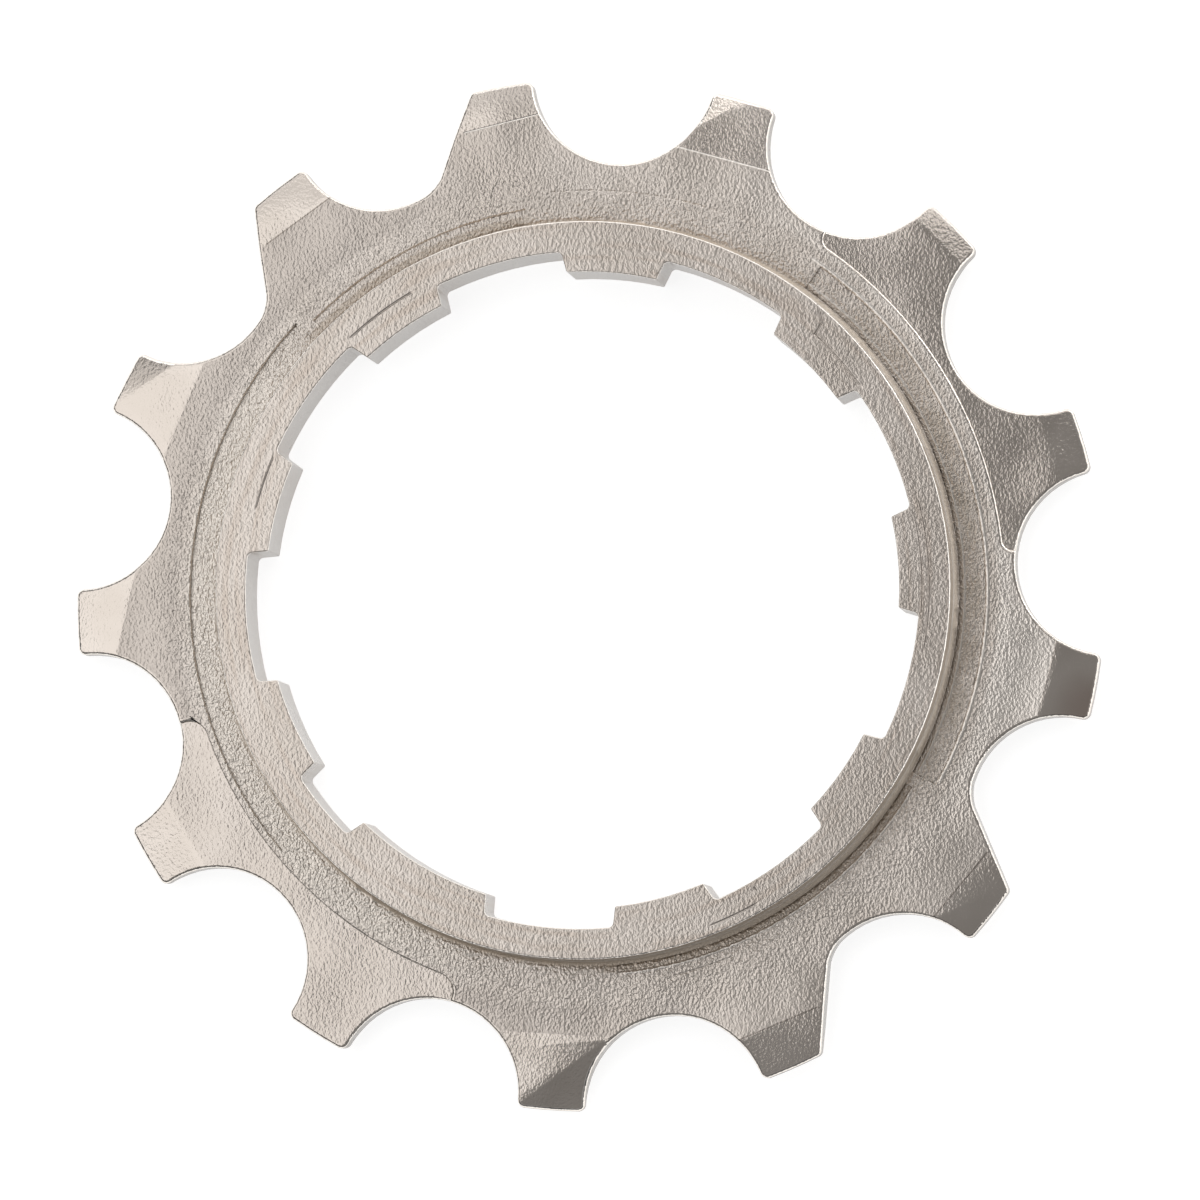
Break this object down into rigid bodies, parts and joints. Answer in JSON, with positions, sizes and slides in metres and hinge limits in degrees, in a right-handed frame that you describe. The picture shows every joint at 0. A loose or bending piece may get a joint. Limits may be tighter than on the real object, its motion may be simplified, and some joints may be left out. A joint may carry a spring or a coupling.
{
  "type": "cassette cog",
  "caption": "Toothed chain cog with a splined bore, a built-in spacer boss and shift ramps on one face.",
  "frame": {"origin": "centre of the splined bore in the flat back face", "axes": "+Z along the bore axis, out of the front face with the boss; +X and +Y in the plane of the plate, the first tooth near +Y"},
  "size_m": [0.0536, 0.0537, 0.0037],
  "materials": {
    "nickel": "satin nickel plate on steel"
  },
  "bodies": {
    "root": {"cog": "nickel"}
  },
  "joints": []
}
